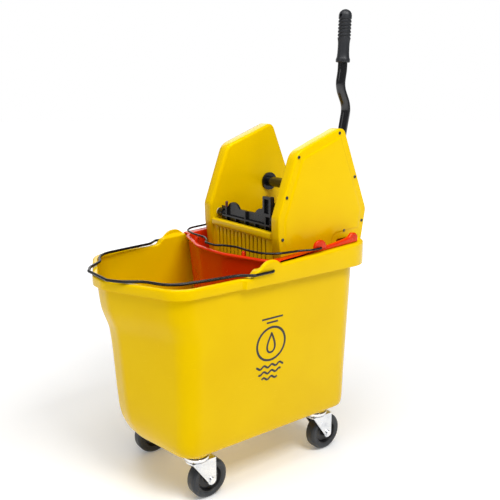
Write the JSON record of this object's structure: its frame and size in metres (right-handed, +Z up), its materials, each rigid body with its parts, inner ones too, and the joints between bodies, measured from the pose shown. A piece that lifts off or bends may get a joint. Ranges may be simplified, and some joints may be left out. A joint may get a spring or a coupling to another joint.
{
  "type": "mop bucket with wringer",
  "caption": "Wheeled mop bucket with a pouring spout, a hung inner bucket and a lever wringer whose geared jaw presses the mop in a slotted strainer.",
  "frame": {"origin": "on the floor, under the middle of the whole object", "axes": "+Z up; -X towards the pouring spout, +X towards the wringer; -Y is the side with the lever"},
  "size_m": [0.5244, 0.3432, 0.873],
  "materials": {
    "yellow_plastic": "semi-gloss moulded polypropylene",
    "red_plastic": "semi-gloss moulded polypropylene",
    "black_wire": "black coated steel wire",
    "black_plastic": "satin moulded nylon",
    "red_brown_plastic": "satin",
    "black_coated_steel": "black powder coat",
    "grip_plastic": "fine moulded texture",
    "bearing_nylon": "natural nylon",
    "gear_iron": "as cast",
    "zinc_steel": "bright zinc plate",
    "grey_rubber": "moulded grey rubber",
    "wheel_black": "moulded",
    "bright_steel": "turned steel"
  },
  "bodies": {
    "bucket": {"bucket_shell": "yellow_plastic", "caster_stems": "bright_steel", "caster_upper_races": "zinc_steel", "caster_stem_sockets": "bearing_nylon"},
    "bucket_bail": {"bucket_bail": "black_wire"},
    "insert": {"insert_bucket": "red_plastic"},
    "insert_bail": {"insert_bail": "black_wire"},
    "wringer": {"wringer_basket": "yellow_plastic", "near_tower_housing": "yellow_plastic", "far_tower_housing": "yellow_plastic", "near_tower_cover": "yellow_plastic", "far_tower_cover": "yellow_plastic", "near_cover_screws": "black_coated_steel", "far_cover_screws": "black_coated_steel", "shaft_bushes": "bearing_nylon", "pivot_bushes": "bearing_nylon", "return_spring": "bright_steel"},
    "lever": {"cross_shaft": "black_coated_steel", "shaft_collars": "black_plastic", "lever_hub_gear": "gear_iron", "far_drive_gear": "gear_iron", "lever_tube": "black_coated_steel", "lever_grip": "grip_plastic", "hub_pins": "bright_steel"},
    "jaw": {"press_jaw": "black_plastic", "jaw_block": "black_plastic", "jaw_peg": "red_brown_plastic", "jaw_pivot_pins": "bright_steel", "near_jaw_sector": "gear_iron", "far_jaw_sector": "gear_iron", "sector_screws": "bright_steel"},
    "front_near_caster": {"front_near_fork": "zinc_steel", "front_near_race_cup": "zinc_steel", "front_near_race_balls": "bright_steel", "front_near_axle_bolt": "bright_steel"},
    "front_near_wheel": {"front_near_wheel_core": "wheel_black", "front_near_tyre": "grey_rubber"},
    "front_far_caster": {"front_far_fork": "zinc_steel", "front_far_race_cup": "zinc_steel", "front_far_race_balls": "bright_steel", "front_far_axle_bolt": "bright_steel"},
    "front_far_wheel": {"front_far_wheel_core": "wheel_black", "front_far_tyre": "grey_rubber"},
    "rear_near_caster": {"rear_near_fork": "zinc_steel", "rear_near_race_cup": "zinc_steel", "rear_near_race_balls": "bright_steel", "rear_near_axle_bolt": "bright_steel"},
    "rear_near_wheel": {"rear_near_wheel_core": "wheel_black", "rear_near_tyre": "grey_rubber"},
    "rear_far_caster": {"rear_far_fork": "zinc_steel", "rear_far_race_cup": "zinc_steel", "rear_far_race_balls": "bright_steel", "rear_far_axle_bolt": "bright_steel"},
    "rear_far_wheel": {"rear_far_wheel_core": "wheel_black", "rear_far_tyre": "grey_rubber"}
  },
  "joints": [
    {"name": "bucket_bail_swing", "type": "hinge", "parent": "bucket", "child": "bucket_bail", "pos_m": [-0.00935, 0, 0.4265], "axis": [0, 1, 0], "range_deg": [0, 84]},
    {"name": "insert_lift", "type": "slide", "parent": "bucket", "child": "insert", "axis": [0, 0, 1], "range_m": [0, 0.32]},
    {"name": "insert_bail_swing", "type": "hinge", "parent": "insert", "child": "insert_bail", "pos_m": [0.10865, 0, 0.449], "axis": [0, 1, 0], "range_deg": [0, 52]},
    {"name": "wringer_lift", "type": "slide", "parent": "insert", "child": "wringer", "axis": [0, 0, 1], "range_m": [0, 0.16]},
    {"name": "lever_pull", "type": "hinge", "parent": "wringer", "child": "lever", "pos_m": [0.18365, 0, 0.539], "axis": [0, 1, 0], "range_deg": [0, 78], "stiffness_Nm_per_rad": 1.2, "springref_deg": -25.78},
    {"name": "jaw_press", "type": "hinge", "parent": "wringer", "child": "jaw", "pos_m": [0.05947, 0, 0.48603], "axis": [0, 1, 0], "range_deg": [-33.5, 0]},
    {"name": "front_near_swivel", "type": "hinge", "parent": "bucket", "child": "front_near_caster", "pos_m": [-0.13335, -0.101, 0.08], "axis": [0, 0, 1], "continuous": true},
    {"name": "front_near_roll", "type": "hinge", "parent": "front_near_caster", "child": "front_near_wheel", "pos_m": [-0.11135, -0.101, 0.038], "axis": [0, 1, 0], "continuous": true},
    {"name": "front_far_swivel", "type": "hinge", "parent": "bucket", "child": "front_far_caster", "pos_m": [-0.13335, 0.101, 0.08], "axis": [0, 0, 1], "continuous": true},
    {"name": "front_far_roll", "type": "hinge", "parent": "front_far_caster", "child": "front_far_wheel", "pos_m": [-0.11135, 0.101, 0.038], "axis": [0, 1, 0], "continuous": true},
    {"name": "rear_near_swivel", "type": "hinge", "parent": "bucket", "child": "rear_near_caster", "pos_m": [0.15565, -0.101, 0.08], "axis": [0, 0, 1], "continuous": true},
    {"name": "rear_near_roll", "type": "hinge", "parent": "rear_near_caster", "child": "rear_near_wheel", "pos_m": [0.17765, -0.101, 0.038], "axis": [0, 1, 0], "continuous": true},
    {"name": "rear_far_swivel", "type": "hinge", "parent": "bucket", "child": "rear_far_caster", "pos_m": [0.15565, 0.101, 0.08], "axis": [0, 0, 1], "continuous": true},
    {"name": "rear_far_roll", "type": "hinge", "parent": "rear_far_caster", "child": "rear_far_wheel", "pos_m": [0.17765, 0.101, 0.038], "axis": [0, 1, 0], "continuous": true}
  ],
  "couplings": [
    {"joint": "jaw_press", "follows": "lever_pull", "ratio": -0.42857}
  ]
}
